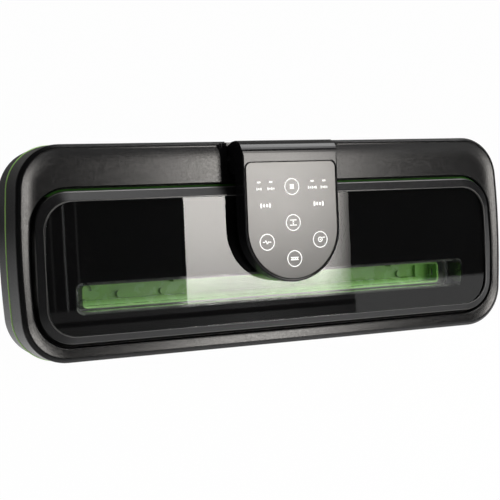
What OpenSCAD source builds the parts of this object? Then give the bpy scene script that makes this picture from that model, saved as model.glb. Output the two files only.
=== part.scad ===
// Countertop vacuum sealer: lower housing, hinged lid with window, and a swing-up lock handle
// that carries the control panel. X runs along the body, -Y faces the user, +Z is up.
// The origin is the middle of the footprint, on the surface that the feet stand on.

/* [Body] */
// Length of the body across the lid's shoulder
body_l = 431; // [422:1:450]
// Width of the body from front to rear
body_w = 161.4; // [158:0.2:168]
// Plan radius of the body's corners
corner_r = 34; // [30:0.5:38]
// Height of the lid's shoulder
shoulder_z = 75; // [74:0.5:78]
// Height of the parting line between lid and lower housing
parting_z = 50; // [49:0.5:51]
// Wall thickness of the moulded housings
wall = 2.4; // [2:0.1:2.8]
// Height of the rubber feet
foot_h = 4; // [3:0.5:6]
// Radius of the rubber feet
foot_r = 9; // [7:0.5:11]
// Inward reach of the lower housing's rounded belly
belly_in = 20; // [16:0.5:22]
// Height of the lower housing's rounded belly
belly_h = 24; // [20:0.5:26]
// Height of the coloured trim band
trim_h = 1.6; // [1.2:0.1:2]
// How far the trim band stands out of the body
trim_out = 0.8; // [0.6:0.1:1.8]

/* [Lid] */
// Width of the lid's frame at its short sides
frame_side = 10.4; // [9:0.1:11.4]
// Width of the lid's frame at the front
frame_front = 11.2; // [8.5:0.1:12]
// Width of the lid's frame at the rear
frame_rear = 32.4; // [31.5:0.1:34]
// Rise of the lid's flat top above its shoulder
frame_rise = 2.3; // [1.5:0.1:3]
// Depth of the lid's dished top below its crest
dish = 1.2; // [0.6:0.1:1.4]
// Width of the slope between crest and dish
dish_w = 12; // [10:0.5:16]
// Plan radius of the recess round the window bezel
recess_r = 28.5; // [27:0.5:33]
// Gap between the recess and the window bezel
bezel_gap = 2.4; // [2:0.1:3.4]
// Width of the window bezel
bezel_w = 7.2; // [6.6:0.1:9]
// Plan radius of the window opening's corners
opening_r = 21.5; // [19:0.5:24]
// Thickness of the window pane
pane_t = 2.5; // [2:0.1:3]
// Widest opening of the lid, in degrees
lid_open = 65; // [40:1:68]

/* [Chamber] */
// Distance from the body's end to the vacuum chamber's ring
chamber_end = 42; // [40:0.5:48]
// Outer width of the vacuum chamber's ring
chamber_w = 24; // [23:0.2:27]
// Distance from the body's front edge to the chamber's middle
chamber_front = 46.7; // [46:0.1:48]
// Wall thickness of the chamber's ring
ring_t = 2.2; // [1.6:0.1:2.6]
// Width of the lower gasket
gasket_w = 3.4; // [3:0.1:4]
// Distance from the chamber's end to the drip tray
tray_end = 12; // [10:0.5:20]
// Wall thickness of the drip tray
tray_t = 1.6; // [1.2:0.1:2]
// Height of the drip tray
tray_h = 17.5; // [15:0.5:18]
// Distance from the chamber's end to the sealing bar's end
seal_end = 13; // [11:0.5:20]
// Width of the sealing bar
seal_w = 10; // [8:0.5:11]

/* [Handle] */
// Width of the lock handle
handle_w = 83.6; // [78:0.2:84]
// Overall height of the handle's top face
handle_z = 98; // [96:0.5:102]
// Thickness of the handle over the window
handle_t = 14.5; // [13:0.5:15]
// Distance of the handle's tip in front of the body's middle
handle_tip = 31; // [28:0.5:34]
// Width of the bare rim round the control panel
panel_rim = 1.9; // [1.2:0.1:3]
// Height of the handle's shaft
shaft_z = 71.6; // [71:0.1:72]
// Radius of the handle's shaft
shaft_r = 2.4; // [2:0.1:2.4]
// Widest opening of the handle, in degrees
handle_open = 45; // [30:1:45]

/* [Hidden] */
$fn = 96;
eps = 0.01;
far = 600;

// Clearances
part_gap = 0.5;     // between pieces of different bodies
run_gap = 0.05;     // radial, shaft in its bearing
side_gap = 0.6;     // beside ears, cranks and hooks

// Heights
floor_z = foot_h;
base_top = parting_z - trim_h;
lid_bottom = parting_z + part_gap;
frame_top = shoulder_z + frame_rise;
dish_z = frame_top - dish;
plate_z = frame_top - 2.8;
deck_t = 2.5;
deck_z = parting_z + deck_t;
flange_z = shoulder_z - 5;
flange_t = 2;
flange_w = 9;
bezel_z = shoulder_z + 3.9;
bezel_rise = 2.6;
pane_z = bezel_z + 1.1;
pane_in = 4.4;
mask_t = 0.3;

// Outlines
body = [body_l, body_w, corner_r, 1, 0];
recess_w = body_w - frame_front - frame_rear;
recess_y = (frame_front - frame_rear) / 2;
recess = [body_l - 2 * frame_side, recess_w, recess_r, 1, recess_y];
opening_w = recess_w - 2 * (bezel_gap + bezel_w) + 0.7;
opening = [recess[0] - 2 * (bezel_gap + bezel_w), opening_w, opening_r, 1, recess_y - 0.95];
chamber_l = body_l - 2 * chamber_end;
chamber_y = body_w / 2 - chamber_front;
tray_l = chamber_l - 2 * tray_end;
seal_l = chamber_l - 2 * seal_end;
chamber = [chamber_l, chamber_w, 6, 0, -chamber_y];

// Lid hinge
hinge_r = 8;
hinge_y = body_w / 2 - hinge_r - 0.2;
hinge_z = lid_bottom + hinge_r;
hinge_x = 140;
ear_w = 8;
ear_r = 6;
pin_r = 2.5;
knuckle_w = 16;

// Handle, its pocket and its shaft
handle_r = handle_w / 2;
nose_y = handle_r - handle_tip;
handle_under = handle_z - handle_t;
seam_z = handle_under + 5.1;
lobe_r = 10.3;
shaft_y = body_w / 2 - lobe_r - 3.4;
roll_r = 12;
rear_y = body_w / 2 - 0.2;
lobe_front = shaft_y - lobe_r;
pocket_floor = shaft_z - lobe_r - part_gap;
pocket_front = lobe_front - 3.6;
pocket = [handle_w + 5.2, 70, 5, 0, pocket_front + 35];
panel_t = 1;

// Lock linkage
crank_r = 7;
half_swing = handle_open / 2;
link_shift = crank_r * sin(half_swing);
link_z = shaft_z - crank_r * cos(half_swing);
latch_y = -(body_w / 2 - 12.7);
latch_z = deck_z + 4;
latch_crank = sqrt(pow(link_z - latch_z, 2) + pow(link_shift, 2));
latch_swing = 2 * asin(link_shift / latch_crank);
latch_r = 2;
hook_x = chamber_l / 2 + 3.5;
hook_w = 5;
hook_drop = 12.5;
crank_x = corner_x(body) + 11.2;
crank_t = 2.4;
crank_pin_r = 1.2;
rod_x = crank_x + crank_t / 2 + side_gap + 0.8;

screw_x = [body_l / 2 - 31, body_l / 2 - 145];
screw_y = [body_w / 2 - 42.7, body_w / 2 - 28];
screw_spots = [for (x = [-1, 1], y = [-1, 1], i = [0, 1]) [x * screw_x[i], y * screw_y[i]]];

// Each outline is [length, width, wanted corner radius, 1 where the short sides bulge, middle in Y].
// The bulge is an arc that runs into the corner's arc on the slope 237 : 3116, with 3125 as the
// long side of that triangle, so that every centre falls on a whole thousandth of a millimetre.
function unit(s) = s[3] == 0 ? 0 : round((s[1] / 2 - s[2]) / 237 * 1000) / 1000;
function corner_y(s) = s[3] == 0 ? s[1] / 2 - s[2] : 237 * unit(s);
function round_r(s) = s[1] / 2 - corner_y(s);
function corner_x(s) = s[0] / 2 - 9 * unit(s) - round_r(s);
function bow_r(s) = 3125 * unit(s) + round_r(s);
function bow_x(s) = corner_x(s) - 3116 * unit(s);

// Points on an ellipse's quarter, from angle a0 to a1
function arc(cx, cy, rx, ry, a0, a1, n = 10) =
    [for (i = [0 : n]) let (a = a0 + (a1 - a0) * i / n) [cx + rx * cos(a), cy + ry * sin(a)]];

// Profile that rounds the upper edge of an opening: x runs away from the opening
function roll(r, z) = concat([[-1, z + 1], [r, z + 1]], arc(r - 0.03, z - r + 0.03, r, r, 90, 180), [[-1, z - r]]);

// Piece of the plan that a corner's arc fills
module corner_sector(s) {
    cx = corner_x(s);
    cy = corner_y(s);
    polygon([[cx, cy], [cx + 62.32, cy + (s[3] == 0 ? 0 : 4.74)], [cx + 62.32, cy + 60], [cx, cy + 60]]);
}

// Piece of the plan that a short side's arc fills
module side_sector(s) {
    cx = corner_x(s);
    cy = corner_y(s);
    polygon([[0, -cy], [cx, -cy], [cx + 62.32, -cy - 4.74], [cx + 62.32, cy + 4.74], [cx, cy], [0, cy]]);
}

// Filled outline, grown by d
module face(s, d = 0) {
    cx = corner_x(s);
    cy = corner_y(s);
    translate([0, s[4]]) {
        square([2 * cx, s[1] + 2 * d], center = true);
        for (mx = [0, 1]) mirror([mx, 0]) {
            for (my = [0, 1]) mirror([0, my]) intersection() {
                translate([cx, cy]) circle(round_r(s) + d);
                corner_sector(s);
            }
            if (s[3] == 0) {
                translate([0, -cy]) square([s[0] / 2 + d, 2 * cy]);
            } else {
                intersection() {
                    translate([bow_x(s), 0]) circle(bow_r(s) + d, $fn = 1440);
                    side_sector(s);
                }
            }
        }
    }
}

// Plate with that outline, from z0 to z1
module slab(s, z0, z1, d = 0) {
    translate([0, 0, z0]) linear_extrude(z1 - z0) face(s, d);
}

// Sweeps a profile round the outline: the profile's x points outward and its y is the height
module band(s) {
    cx = corner_x(s);
    cy = corner_y(s);
    slope = s[3] == 0 ? 0 : atan2(237, 3116);
    translate([0, s[4], 0]) {
        for (my = [0, 1]) mirror([0, my, 0]) {
            translate([-cx, s[1] / 2, 0]) rotate([90, 0, 90]) linear_extrude(2 * cx) children();
        }
        for (mx = [0, 1]) mirror([mx, 0, 0]) {
            for (my = [0, 1]) mirror([0, my, 0]) {
                if (s[3] == 0) {
                    translate([cx, cy, 0]) rotate_extrude(angle = 90) translate([round_r(s), 0]) children();
                } else {
                    // from the slope upward, from the long side back, and half of the short side
                    translate([cx, cy, 0]) rotate([0, 0, slope]) rotate_extrude(angle = 50)
                        translate([round_r(s), 0]) children();
                    translate([cx, cy, 0]) rotate([0, 0, 90]) mirror([0, 1, 0]) rotate_extrude(angle = 50)
                        translate([round_r(s), 0]) children();
                    translate([bow_x(s), 0, 0]) rotate([0, 0, -slope]) rotate_extrude(angle = 5, $fn = 1440)
                        translate([bow_r(s), 0]) children();
                }
            }
            if (s[3] == 0) {
                translate([s[0] / 2, cy, 0]) rotate([90, 0, 0]) linear_extrude(2 * cy) children();
            }
        }
    }
}

// Box given by its low and high corners
module block(low, high) {
    translate(low) cube([high[0] - low[0], high[1] - low[1], high[2] - low[2]]);
}

// Round bar along X from x0 to x1 at [y, z]
module bar_x(x0, x1, y, z, r) {
    translate([x0, y, z]) rotate([0, 90, 0]) cylinder(r = r, h = x1 - x0);
}

// Copies its children to both ends of the body
module both_ends() {
    for (m = [0, 1]) mirror([m, 0, 0]) children();
}

// Pan-head screw, head down at the given point, shank up
module screw(shank_r, shank_l, head_r, head_h) {
    cylinder(r = head_r, h = head_h);
    cylinder(r = shank_r, h = head_h + shank_l);
}

// ---- Lower housing ----

foot_x = body_l / 2 - 50;
foot_y = body_w / 2 - 38;
boss_r = 4;
boss_top = floor_z + 16;
screw_r = 1.5;
screw_head_r = 3;
screw_head_h = 2.2;
head_z = floor_z + 8;
socket_x = -body_l / 2 + 65;
socket_z = parting_z - 15;
socket_hw = 13;
socket_hh = 8;
motor_r = 14;
motor_x0 = -62;
motor_x1 = -6;
motor_y = 18;
motor_z = floor_z + wall + motor_r + 3;
head_x1 = 30;
board_z = floor_z + wall + 6;
board_x = 39 - body_l / 2;
board = [[board_x, -22], [board_x + 84, 38]];

module base_shell() {
    belly_x = -0.7 - belly_in;
    belly_z = floor_z + belly_h;
    color("#1d1e20") difference() {
        union() {
            band(body) polygon(concat(
                [[0.5, base_top]],
                arc(belly_x, belly_z, belly_in, belly_h, 0, -90),
                [[belly_x - 1, floor_z], [belly_x - 1, floor_z + wall]],
                arc(belly_x, belly_z, belly_in - wall, belly_h - wall, -90, 0),
                [[0.5 - wall, base_top]]));
            slab(body, floor_z, floor_z + wall, belly_x);
            for (p = screw_spots) translate([p[0], p[1], floor_z]) cylinder(r = boss_r + 1.5, h = boss_top - floor_z);
            // saddles under the pump motor
            for (x = [motor_x0 + 6, motor_x1 - 9]) {
                block([x, motor_y - motor_r, floor_z + eps], [x + 3, motor_y + motor_r, motor_z - 5]);
            }
            // pads under the pump head
            block([motor_x1 + 6, motor_y - 12, floor_z + eps], [head_x1 - 6, motor_y + 12, motor_z - 14]);
            // posts under the power board
            for (x = [board[0][0] + 5, board[1][0] - 5], y = [board[0][1] + 5, board[1][1] - 5]) {
                translate([x, y, floor_z + eps]) cylinder(r = 2.5, h = board_z - floor_z - eps);
            }
        }
        bar_x(motor_x0, motor_x1, motor_y, motor_z, motor_r);
        for (p = screw_spots) translate([p[0], p[1], 0]) {
            cylinder(r = screw_head_r + 0.6, h = head_z);
            cylinder(r = screw_r, h = boss_top + 1);
        }
        // window in the rear wall for the mains inlet
        block([socket_x - socket_hw, body_w / 2 - 12, socket_z - socket_hh],
              [socket_x + socket_hw, body_w / 2 + 5, socket_z + socket_hh]);
        // cooling slots under the motor and the power board
        for (x = [board_x + 8 : 8 : board_x + 64]) block([x, -12, 0], [x + 3, 26, floor_z + wall + 1]);
        for (x = [motor_x0 + 10 : 8 : motor_x1 - 14]) block([x, motor_y + 18, 0], [x + 3, motor_y + 36, floor_z + wall + 1]);
    }
}

module trim_band() {
    edge = 0.35;
    color("#5fae3c") band(body) polygon([
        [-6, base_top], [trim_out - edge, base_top], [trim_out, base_top + edge],
        [trim_out, parting_z - edge], [trim_out - edge, parting_z], [-6, parting_z]]);
}

module rubber_feet() {
    color("#2a2a2a") for (x = [-1, 1], y = [-1, 1]) translate([x * foot_x, y * foot_y, 0]) {
        rotate_extrude() polygon([[0, 0], [foot_r - 1, 0], [foot_r, 1], [foot_r, foot_h], [0, foot_h]]);
    }
}

module base_screws() {
    color("#8b8d90") for (p = screw_spots) translate([p[0], p[1], head_z - screw_head_h]) {
        screw(screw_r, boss_top - head_z + 12, screw_head_r, screw_head_h);
    }
}

ledge_z = deck_z - 1.5;
gasket_top = deck_z + 2.5;
ring_line = [chamber_l - ring_t, chamber_w - ring_t, 6 - ring_t / 2, 0, -chamber_y];
well = [tray_l + 10, chamber_w - ring_t - gasket_w, 4, 0, -chamber_y];
tray = [tray_l, well[1] - 0.6, 3.7, 0, -chamber_y];
well_floor = gasket_top + 2.5 - tray_h;
seal_y = -(chamber_y + chamber_w / 2 + 9.5);
seal_z = deck_z + 0.9;
port_x = well[0] / 2 - 2.6;
switch_x = body_l / 2 - 34;
switch_y = 20;

module base_deck() {
    shelf_y = hinge_y - hinge_r - 1;
    color("#17181a") difference() {
        union() {
            intersection() {
                slab(body, parting_z, deck_z, -4);
                block([-far, -far, 0], [far, shelf_y, far]);
            }
            intersection() {
                slab(body, base_top, parting_z - 0.1, -6);
                block([-far, shelf_y - 2, 0], [far, far, far]);
            }
            intersection() {
                slab(body, base_top, deck_z, -6);
                block([-far, shelf_y - 2, 0], [far, shelf_y, far]);
            }
            difference() {
                band(body) polygon([[-8, base_top - 1.5], [-6, base_top - 1.5], [-6, parting_z + 1], [-8, parting_z + 1]]);
                block([-far, shelf_y - 1, parting_z - 0.1], [far, far, far]);
            }
            // walls and floor of the tray's well
            slab(well, well_floor - 2, parting_z + eps, 2);
            // trough that holds the sealing bar
            block([-seal_l / 2 - 2, seal_y - seal_w / 2 - 2, seal_z - 6.4],
                  [seal_l / 2 + 2, seal_y + seal_w / 2 + 2, parting_z + eps]);
            // screw columns
            for (p = screw_spots) translate([p[0], p[1], boss_top]) cylinder(r = boss_r, h = deck_z - boss_top - 1);
            // nozzle of the vacuum port
            translate([port_x, -chamber_y, well_floor - 5]) cylinder(r = 2, h = 4);
            both_ends() for (m = [0]) hinge_ear();
        }
        slab(well, well_floor, far, 0);
        slab(ring_line, ledge_z, far, gasket_w / 2);
        block([-seal_l / 2, seal_y - seal_w / 2, seal_z - 4.4], [seal_l / 2, seal_y + seal_w / 2, far]);
        for (p = screw_spots) translate([p[0], p[1], 0]) cylinder(r = screw_r, h = boss_top + 12);
        translate([port_x, -chamber_y, 0]) cylinder(r = 1.2, h = far);
        both_ends() {
            block([hook_x - hook_w / 2 - 1.2, latch_y - 6.2, base_top - 6],
                  [hook_x + hook_w / 2 + 1.2, latch_y + 10, far]);
            block([hook_x - 4.5, -far, base_top - 2], [hook_x + 4.5, latch_y, base_top + 0.1]);
            bar_x(hinge_x - far, hinge_x + far, hinge_y, hinge_z, pin_r + run_gap);
        }
        translate([switch_x, switch_y, 0]) cylinder(r = 2, h = far);
    }
}

// Ear that carries the lid's hinge pin
module hinge_ear() {
    bar_x(hinge_x - ear_w / 2, hinge_x + ear_w / 2, hinge_y, hinge_z, ear_r);
    block([hinge_x - ear_w / 2, hinge_y - 4.5, base_top + eps], [hinge_x + ear_w / 2, body_w / 2 - 6, hinge_z]);
}

module lower_gasket() {
    color("#0f0f10") band(ring_line) polygon([
        [-gasket_w / 2, ledge_z], [gasket_w / 2, ledge_z], [gasket_w / 2, gasket_top - 0.5],
        [gasket_w / 2 - 0.5, gasket_top], [0.5 - gasket_w / 2, gasket_top], [-gasket_w / 2, gasket_top - 0.5]]);
}

module drip_tray() {
    top = well_floor + tray_h;
    notch_x = 100;
    notch_w = 26;
    step_z = well_floor + 10;
    step_y = -chamber_y - tray[1] / 2 + 5.6;
    color("#5fae3c") difference() {
        union() {
            difference() {
                slab(tray, well_floor, top);
                slab(tray, well_floor + 4.5, far, -tray_t);
            }
            // raised step along the front wall
            block([-tray_l / 2 + tray_t - eps, -chamber_y - tray[1] / 2 + tray_t - eps, well_floor + eps],
                  [tray_l / 2 - 16, step_y, step_z]);
            // locating studs on the floor
            for (x = [-128, -92, 128]) translate([x, -chamber_y, well_floor + eps]) cylinder(r = 2.6, h = 7.5);
            // bar before the sump at the intake end
            block([tray_l / 2 - 17.5, -chamber_y - tray[1] / 2 + eps, well_floor + eps],
                  [tray_l / 2 - 16, -chamber_y + tray[1] / 2 - eps, step_z - 2]);
        }
        // finger notches in the rear wall
        both_ends() block([notch_x - notch_w / 2, -chamber_y + tray[1] / 2 - tray_t - 1, well_floor + 9],
                          [notch_x + notch_w / 2, far, far]);
        // air slot over the vacuum port
        block([tray_l / 2 - tray_t - 1, -chamber_y - 3, well_floor + 7], [far, -chamber_y + 3, well_floor + 11]);
    }
}

module seal_bar() {
    color("#2b2c2e") difference() {
        block([-seal_l / 2, seal_y - seal_w / 2, seal_z - 4.4], [seal_l / 2, seal_y + seal_w / 2, seal_z]);
        block([-far, seal_y - 1.5, seal_z - 0.3], [far, seal_y + 1.5, far]);
    }
}

module heating_strip() {
    color("#9a9486") block([-seal_l / 2 + 2, seal_y - 1.5, seal_z - 0.3], [seal_l / 2 - 2, seal_y + 1.5, seal_z]);
}

module sealing_tape() {
    color("#3a332b") block([-seal_l / 2 + 1, seal_y - seal_w / 2 + 0.6, seal_z],
                           [seal_l / 2 - 1, seal_y + seal_w / 2 - 0.6, seal_z + 0.2]);
}

module latch_catches() {
    lip_y = latch_y - 6;
    color("#9c9ea1") both_ends() {
        block([hook_x - 4, lip_y - 3.2, base_top - 1], [hook_x + 4, lip_y, base_top]);
        block([hook_x - 4, lip_y - 3.2, base_top - 9], [hook_x + 4, lip_y - 2, base_top]);
    }
}

socket_back = body_w / 2 - 20;
socket_front = body_w / 2 - 0.9;

module inlet_socket() {
    color("#141415") difference() {
        union() {
            block([socket_x - socket_hw, socket_back, socket_z - socket_hh],
                  [socket_x + socket_hw, socket_front, socket_z + socket_hh]);
            block([socket_x - socket_hw - 3, socket_back + 2, socket_z - socket_hh],
                  [socket_x + socket_hw + 3, body_w / 2 - 12, socket_z + socket_hh]);
        }
        for (x = [-4.3, 4.3]) translate([socket_x + x, socket_back + 7, socket_z]) rotate([-90, 0, 0])
            cylinder(r = 4.2, h = far);
        block([socket_x - 4.3, socket_back + 7, socket_z - 4.2], [socket_x + 4.3, far, socket_z + 4.2]);
        for (x = [-4.3, 4.3]) translate([socket_x + x, socket_back + 3, socket_z]) rotate([-90, 0, 0])
            cylinder(r = 1.15, h = 5);
    }
}

module inlet_pins() {
    color("#b9bbbd") for (x = [-4.3, 4.3]) translate([socket_x + x, socket_back + 3, socket_z]) rotate([-90, 0, 0]) {
        cylinder(r = 1.15, h = 12);
    }
}

module power_board() {
    color("#1f5a34") translate([0, 0, board_z]) linear_extrude(1.6) difference() {
        translate(board[0]) square([board[1][0] - board[0][0], board[1][1] - board[0][1]]);
        for (x = [board[0][0] + 5, board[1][0] - 5], y = [board[0][1] + 5, board[1][1] - 5]) {
            translate([x, y]) circle(1.6);
        }
    }
}

module transformer() {
    z = board_z + 1.6;
    x = board[0][0] + 20;
    color("#4a4034") {
        block([x, -6, z], [x + 30, 26, z + 4]);
        block([x + 5, 0, z + 4], [x + 25, 20, z + 20]);
        block([x, -6, z + 20], [x + 30, 26, z + 24]);
    }
}

module pump_motor() {
    color("#6f7276") {
        bar_x(motor_x0, motor_x1, motor_y, motor_z, motor_r);
        bar_x(motor_x0 - 3, motor_x0, motor_y, motor_z, 5);
    }
}

module pump_head() {
    color("#26272a") {
        block([motor_x1, motor_y - 17, motor_z - 14], [head_x1, motor_y + 17, motor_z + 14]);
        bar_x(head_x1, head_x1 + 8, motor_y, motor_z, 2);
    }
}

module vacuum_tube() {
    tube_r = 3;
    elbow_r = 4;
    bore_r = 2;
    end_z = well_floor - 2;
    color("#c9cdd0") difference() {
        union() {
            bar_x(head_x1, port_x, motor_y, motor_z, tube_r);
            translate([port_x, motor_y, motor_z]) sphere(elbow_r);
            translate([port_x, motor_y, motor_z]) rotate([90, 0, 0]) cylinder(r = tube_r, h = motor_y + chamber_y);
            translate([port_x, -chamber_y, motor_z]) sphere(elbow_r);
            translate([port_x, -chamber_y, motor_z]) cylinder(r = tube_r, h = end_z - motor_z);
        }
        bar_x(head_x1 - 1, head_x1 + 8, motor_y, motor_z, bore_r);
        translate([port_x, -chamber_y, end_z - 3]) cylinder(r = bore_r, h = 4);
    }
}

module lid_switch() {
    color("#3b3d40") {
        block([switch_x - 10, switch_y - 3.2, parting_z - 10], [switch_x + 10, switch_y + 3.2, parting_z]);
        translate([switch_x, switch_y, parting_z - eps]) cylinder(r = 1.4, h = 1.5);
    }
}

// ---- Lid ----

tab_w = 3;
bearing_x = [hook_x - 8.5, crank_x - crank_t / 2 - side_gap - tab_w];

module lid_frame() {
    color("#232426") difference() {
        union() {
            lid_skirt();
            lid_plate();
            lid_lip();
            pocket_walls();
            lid_tabs();
        }
        slab(pocket, pocket_floor, far);
        bar_x(-crank_x, crank_x, shaft_y, shaft_z, shaft_r + run_gap);
        both_ends() bar_x(hook_x - 12, crank_x, latch_y, latch_z, latch_r + run_gap);
        bezel_holes();
        // hinge pins, and the slots that the base's ears stand in
        both_ends() {
            bar_x(hinge_x - ear_w / 2 - 9, hinge_x + ear_w / 2 + 9, hinge_y, hinge_z, pin_r);
            block([hinge_x - ear_w / 2 - side_gap, hinge_y - 12, lid_bottom - 1],
                  [hinge_x + ear_w / 2 + side_gap, far, hinge_z + ear_r + 5]);
        }
    }
}

// Handle pocket with its rounded lip
module pocket_cut() {
    slab(pocket, pocket_floor, far);
    lip_r = 5;
    // above the lip, a ramp lets the crest run down to the pocket
    band(pocket) polygon(concat(
        [[-1, frame_top + 2], [lip_r + 5, frame_top + 2], [lip_r + 5, frame_top + 0.1]],
        arc(lip_r - 0.03, dish_z - lip_r + 0.03, lip_r, lip_r, 90, 180),
        [[-1, dish_z - lip_r]]));
}

// Outer skirt with the edge of the top; below the hinge line it stays inside the pin's circle
module lid_skirt() {
    difference() {
        band(body) polygon([
            [0.4 - wall, lid_bottom], [0.4, lid_bottom], [0, shoulder_z - 1], [-0.3, shoulder_z],
            [-2.2, frame_top - 0.3], [-3.2, frame_top], [-5.5, frame_top], [-5.5, plate_z], [-wall, plate_z]]);
        difference() {
            block([-far, hinge_y, 0], [far, far, hinge_z]);
            bar_x(-far, far, hinge_y, hinge_z, hinge_r);
        }
        dish_cut();
        pocket_cut();
    }
}

// Space above the dished top, which slopes down from the crest on a wide arc
module dish_cut() {
    crest = -4;
    dish_r = (dish_w * dish_w + dish * dish) / (2 * dish);
    reach = asin(dish_w / dish_r);
    band(body) polygon(concat(
        [[crest, frame_top + 1]],
        arc(crest - dish_w, dish_z + dish_r, dish_r, dish_r, reach - 90, -90, 7),
        [[crest - dish_w - 0.2, dish_z], [crest - dish_w - 0.2, frame_top + 1]]));
    slab(body, dish_z, frame_top + 1, crest - dish_w);
}

// Top plate with the wall and the flange of the recess round the bezel
module lid_plate() {
    difference() {
        union() {
            difference() {
                slab(body, plate_z, frame_top, -5.3);
                slab(recess, plate_z - 1, frame_top + 1, 0.5);
            }
            band(recess) polygon([
                [0, flange_z - flange_t], [2.2, flange_z - flange_t], [2.2, frame_top], [0, frame_top]]);
            band(recess) polygon([
                [-flange_w, flange_z - flange_t], [eps, flange_z - flange_t], [eps, flange_z], [-flange_w, flange_z]]);
        }
        band(recess) polygon(roll(2.2, dish_z + 0.3));
        dish_cut();
        pocket_cut();
    }
}

// Knuckles and rounded rear lip about the hinge pins
module lid_lip() {
    r = hinge_r - 0.02;
    intersection() {
        slab(body, lid_bottom - 1, plate_z + 1);
        union() {
            both_ends() bar_x(hinge_x - ear_w / 2 - knuckle_w, hinge_x + ear_w / 2 + knuckle_w, hinge_y, hinge_z, r);
            difference() {
                bar_x(-hinge_x - 45, hinge_x + 45, hinge_y, hinge_z, r);
                bar_x(-far, far, hinge_y, hinge_z, hinge_r - wall);
                block([-far, -far, hinge_z], [far, far, far]);
                block([-far, -far, 0], [far, hinge_y - 3, far]);
            }
        }
    }
}

module pocket_walls() {
    intersection() {
        slab(body, pocket_floor - 2, plate_z + 1, -1);
        difference() {
            slab(pocket, pocket_floor - 2, plate_z + 1, 2.2);
            block([-far, -far, 0], [far, recess_y + recess_w / 2 + 0.5, far]);
        }
    }
}

// Bearing tabs of the handle's shaft and of the latch hooks
module lid_tabs() {
    both_ends() {
        block([bearing_x[1], shaft_y - 5, shaft_z - 5], [bearing_x[1] + tab_w, shaft_y + 5, plate_z + 1]);
        for (x = bearing_x) {
            block([x, latch_y - 4.5, latch_z - 3.3], [x + tab_w, latch_y + 4, flange_z - flange_t + 1]);
        }
    }
}

module gap_trim() {
    color("#4d9a38") intersection() {
        band(recess) polygon([
            [0.3 - bezel_gap, flange_z], [1.6 - bezel_gap, flange_z],
            [1.6 - bezel_gap, shoulder_z - 0.5], [0.3 - bezel_gap, shoulder_z - 0.5]]);
        block([-far, recess_y + recess_w / 2 - 6, 0], [far, far, far]);
    }
}

module bezel() {
    g = -bezel_gap;
    color("#3d3e41") difference() {
        band(recess) polygon([
            [g, flange_z], [g, bezel_z - 1.1], [g - 0.15, bezel_z - 0.6], [g - 0.5, bezel_z - 0.15],
            [g - 1, bezel_z + 0.15], [g - bezel_w + 0.4, bezel_z + bezel_rise],
            [g - bezel_w - 2.5, bezel_z + bezel_rise], [g - bezel_w - 2.5, pane_z],
            [g - pane_in, pane_z], [g - pane_in, pane_z - pane_t], [g - 6, flange_z]]);
        slab(opening, 0, far);
        band(opening) polygon(roll(0.7, bezel_z + bezel_rise));
        bezel_holes();
    }
}

bezel_screw_y = [recess_y - recess_w / 2 + bezel_gap + 2.7, recess_y + recess_w / 2 - bezel_gap - 2.7];
bezel_screw_x = corner_x(recess) - 24;
bezel_spots = concat([for (i = [-2 : 2]) [i * bezel_screw_x / 2, bezel_screw_y[0]]],
                     [for (i = [-2, -1, 1, 2]) [i * bezel_screw_x / 2, bezel_screw_y[1]]]);
bezel_head_h = 1.6;

module bezel_holes() {
    for (p = bezel_spots) translate([p[0], p[1], flange_z - flange_t - 1]) cylinder(r = 1.1, h = 7);
}

module bezel_screws() {
    color("#8b8d90") for (p = bezel_spots) translate([p[0], p[1], flange_z - flange_t - bezel_head_h]) {
        screw(1.1, 6, 2, bezel_head_h);
    }
}

module window() {
    color([0.75, 0.78, 0.8, 0.3]) {
        slab(recess, pane_z - pane_t, pane_z, -bezel_gap - pane_in);
        band(chamber) polygon([
            [-ring_t, gasket_top + 0.3], [0, gasket_top + 0.3],
            [0, pane_z - pane_t + eps], [-ring_t, pane_z - pane_t + eps]]);
    }
}

// Dark print behind the window, left clear over the vacuum chamber
module window_mask() {
    color("#0d0d0e") difference() {
        slab(recess, pane_z - pane_t - mask_t, pane_z - pane_t, -bezel_gap - pane_in - 0.2);
        slab(chamber, 0, far, 0.1);
    }
}

module strip_holder() {
    color("#1b1c1e") difference() {
        block([-seal_l / 2 + 2, seal_y - 4, seal_z + 5], [seal_l / 2 - 2, seal_y + 4, pane_z - pane_t - mask_t]);
        block([-far, seal_y - 2, seal_z], [far, seal_y + 2, seal_z + 8]);
    }
}

module press_strip() {
    color("#3b3c3e") {
        block([-seal_l / 2 + 2, seal_y - 2, seal_z + 3], [seal_l / 2 - 2, seal_y + 2, seal_z + 8]);
        block([-seal_l / 2 + 2, seal_y - 3, seal_z + 0.6], [seal_l / 2 - 2, seal_y + 3, seal_z + 3]);
    }
}

module hinge_pins() {
    color("#b4b6b8") both_ends() {
        bar_x(hinge_x - ear_w / 2 - 9, hinge_x + ear_w / 2 + 9, hinge_y, hinge_z, pin_r);
    }
}

// ---- Lock handle ----

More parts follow.
